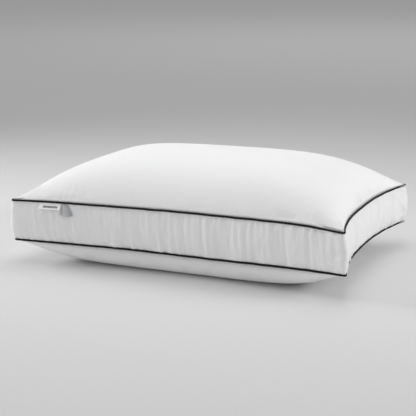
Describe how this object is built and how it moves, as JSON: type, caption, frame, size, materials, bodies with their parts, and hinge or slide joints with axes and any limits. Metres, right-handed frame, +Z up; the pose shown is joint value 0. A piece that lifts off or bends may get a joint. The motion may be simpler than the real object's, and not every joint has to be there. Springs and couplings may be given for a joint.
{
  "type": "bed pillow",
  "caption": "Bed pillow with a puffed top and bottom, an upright gusset wall between dark corded piping, and two small sewn-in labels.",
  "frame": {"origin": "centre of the base, on the surface that the pillow lies on", "axes": "+Z up, +X along the long side, front with the labels faces -Y"},
  "size_m": [0.7024, 0.4546, 0.2164],
  "materials": {
    "white_cotton": "matte, fine sateen weave",
    "black_piping": "matte bias-cut cotton",
    "cotton_cord": "matte twisted cord",
    "white_thread": "matte polyester thread",
    "woven_label": null,
    "satin_label": "thin satin, slightly glossy",
    "fibre_fill": "loose white fibre"
  },
  "bodies": {
    "root": {"bottom_panel": "white_cotton", "gusset_front_strip": "white_cotton", "gusset_back_strip": "white_cotton", "gusset_join_stitches": "white_thread", "closing_stitches": "white_thread", "fibre_fill": "fibre_fill", "lower_piping_cover": "black_piping", "lower_piping_cord": "cotton_cord", "lower_seam_needle_thread": "white_thread", "lower_seam_bobbin_thread": "white_thread", "lower_overlock_thread": "white_thread", "upper_piping_cover": "black_piping", "upper_piping_cord": "cotton_cord", "upper_seam_needle_thread": "white_thread", "upper_seam_bobbin_thread": "white_thread", "upper_overlock_thread": "white_thread"},
    "crown": {"top_panel": "white_cotton"},
    "brand_label": {"brand_label": "woven_label"},
    "care_label": {"care_label": "satin_label"}
  },
  "joints": [
    {"name": "loft_press", "type": "slide", "parent": "root", "child": "crown", "axis": [0, 0, 1], "range_m": [-0.05, 0], "stiffness_N_per_m": 900, "springref_m": 0.003, "deforming": ["top_panel", "fibre_fill"]},
    {"name": "brand_label_flap", "type": "hinge", "parent": "root", "child": "brand_label", "pos_m": [-0.2635, -0.2148, 0.12765], "axis": [-0.9949, -0.1004, 0], "range_deg": [0, 85]},
    {"name": "care_label_flap", "type": "hinge", "parent": "root", "child": "care_label", "pos_m": [-0.226, -0.21128, 0.12765], "axis": [-0.9963, -0.0862, 0], "range_deg": [0, 85]}
  ]
}
